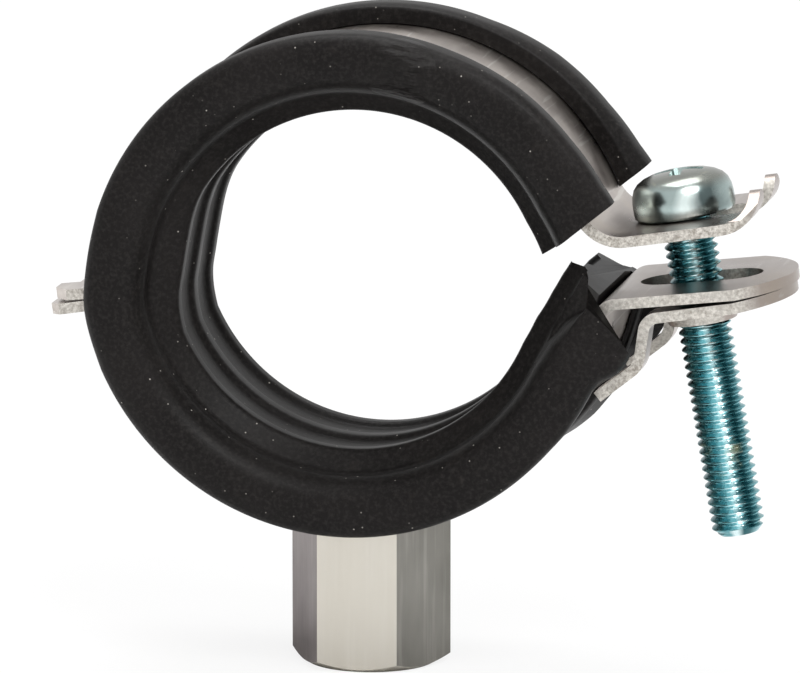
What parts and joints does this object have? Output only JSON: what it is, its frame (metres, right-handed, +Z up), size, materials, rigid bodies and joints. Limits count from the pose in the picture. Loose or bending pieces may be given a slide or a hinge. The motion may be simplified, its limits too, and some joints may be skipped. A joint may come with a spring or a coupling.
{
  "type": "rubber-lined pipe clamp",
  "caption": "Hinged steel pipe clamp with a ribbed rubber lining, a side closing screw with a nut plate, and a hexagonal connecting nut underneath.",
  "frame": {"origin": "centre of the connecting nut's open mouth", "axes": "+Z up the nut towards the pipe, +Y along the pipe towards the back, +X towards the closing screw"},
  "size_m": [0.0683, 0.024, 0.0604],
  "materials": {
    "zinc_steel": "satin",
    "blue_zinc": "gloss",
    "lining_rubber": "matt"
  },
  "bodies": {
    "lower_half": {"lower_band": "zinc_steel", "lower_lining": "lining_rubber", "connecting_nut": "zinc_steel", "nut_plate": "zinc_steel"},
    "upper_half": {"upper_band": "zinc_steel", "upper_lining": "lining_rubber"},
    "screw": {"clamp_screw": "blue_zinc"}
  },
  "joints": [
    {"name": "clamp_hinge", "type": "hinge", "parent": "lower_half", "child": "upper_half", "pos_m": [-0.026, 0, 0.0344], "axis": [0, -1, 0], "range_deg": [-1.3, 1]},
    {"name": "screw_turn", "type": "hinge", "parent": "upper_half", "child": "screw", "pos_m": [0.02943, 0, 0.043], "axis": [-0.1736, 0, 0.9848], "range_deg": [-600, 450]}
  ],
  "couplings": [
    {"joint": "clamp_hinge", "follows": "screw_turn", "ratio": 0.00216}
  ]
}
